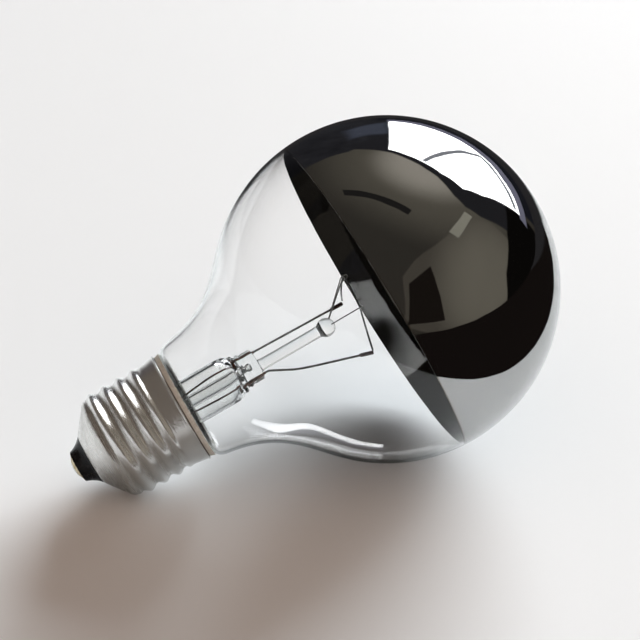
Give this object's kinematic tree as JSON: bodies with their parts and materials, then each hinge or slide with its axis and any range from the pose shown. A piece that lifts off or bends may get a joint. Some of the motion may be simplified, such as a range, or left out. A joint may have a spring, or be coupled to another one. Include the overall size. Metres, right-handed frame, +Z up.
{
  "type": "incandescent bulb",
  "caption": "Clear glass globe bulb with a silvered dome, a visible stem and filament and a 27 mm screw cap, lying on its side.",
  "frame": {"origin": "on the floor that the bulb lies on, under the middle of its bounding box", "axes": "+Z up; the bulb's axis lies in the XZ plane and rises 23.3 degrees from the centre contact at -X to the dome at +X; Y across"},
  "size_m": [0.116, 0.08, 0.08],
  "materials": {
    "clear_glass": "clear, smooth, blown",
    "mirror_silver": "silvered on the inside of the dome",
    "stem_glass": "clear, fused and pressed",
    "cap_aluminium": "satin, rolled",
    "black_glass": "opaque black, glossy",
    "contact_brass": "dull, stamped",
    "solder": "dull tin solder",
    "cement": "matt olive grey",
    "lead_metal": "drawn wire, slightly oxidised",
    "filament_metal": "fine dark coil",
    "seal_copper": "red copper-clad wire",
    "copper": "dull copper wire",
    "support_metal": "fine drawn wire"
  },
  "bodies": {
    "root": {"glass_globe": "clear_glass", "mirror_coating": "mirror_silver", "flare_stem": "stem_glass", "exhaust_tube": "stem_glass", "glass_rod": "stem_glass", "cap_shell": "cap_aluminium", "cap_insulator": "black_glass", "centre_contact": "contact_brass", "centre_solder": "solder", "basing_cement": "cement", "inner_lead_near": "lead_metal", "inner_lead_far": "lead_metal", "filament": "filament_metal", "seal_wire_near": "seal_copper", "seal_wire_far": "seal_copper", "centre_wire": "copper", "side_wire": "copper", "side_weld": "solder", "support_1": "support_metal", "support_2": "support_metal", "support_3": "support_metal"}
  },
  "joints": []
}
